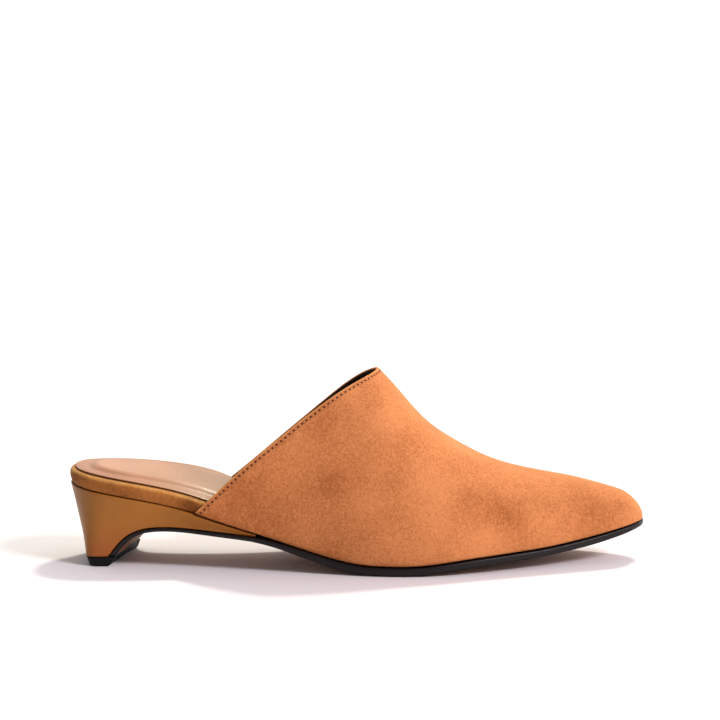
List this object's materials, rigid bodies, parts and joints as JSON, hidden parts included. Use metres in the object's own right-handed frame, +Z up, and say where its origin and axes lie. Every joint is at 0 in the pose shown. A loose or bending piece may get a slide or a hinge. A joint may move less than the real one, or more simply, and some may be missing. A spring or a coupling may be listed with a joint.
{
  "type": "block heel mule",
  "caption": "Slip-on pointed-toe mule in tan suede with an open back, a padded leather sock and a low leather-covered block heel.",
  "frame": {"origin": "middle of the bounding box in plan, at the floor that the heel and the ball stand on", "axes": "+X from the heel to the toe, +Y to the inner (big toe) side of this right shoe, +Z up"},
  "size_m": [0.2664, 0.0824, 0.0884],
  "materials": {
    "upper": "tan suede with a short matt nap, one row of stitching along the topline",
    "footbed": "darker tan suede wrapped over the board",
    "sock": "smooth salmon-tan leather, satin, padded in the middle",
    "heel": "smooth tan leather, satin",
    "outsole": "thin leather sole, edges inked black",
    "top_lift": "matt black rubber"
  },
  "bodies": {
    "root": {"upper": "upper", "footbed": "footbed", "sock": "sock", "heel": "heel", "outsole": "outsole", "top_lift": "top_lift"}
  },
  "joints": []
}
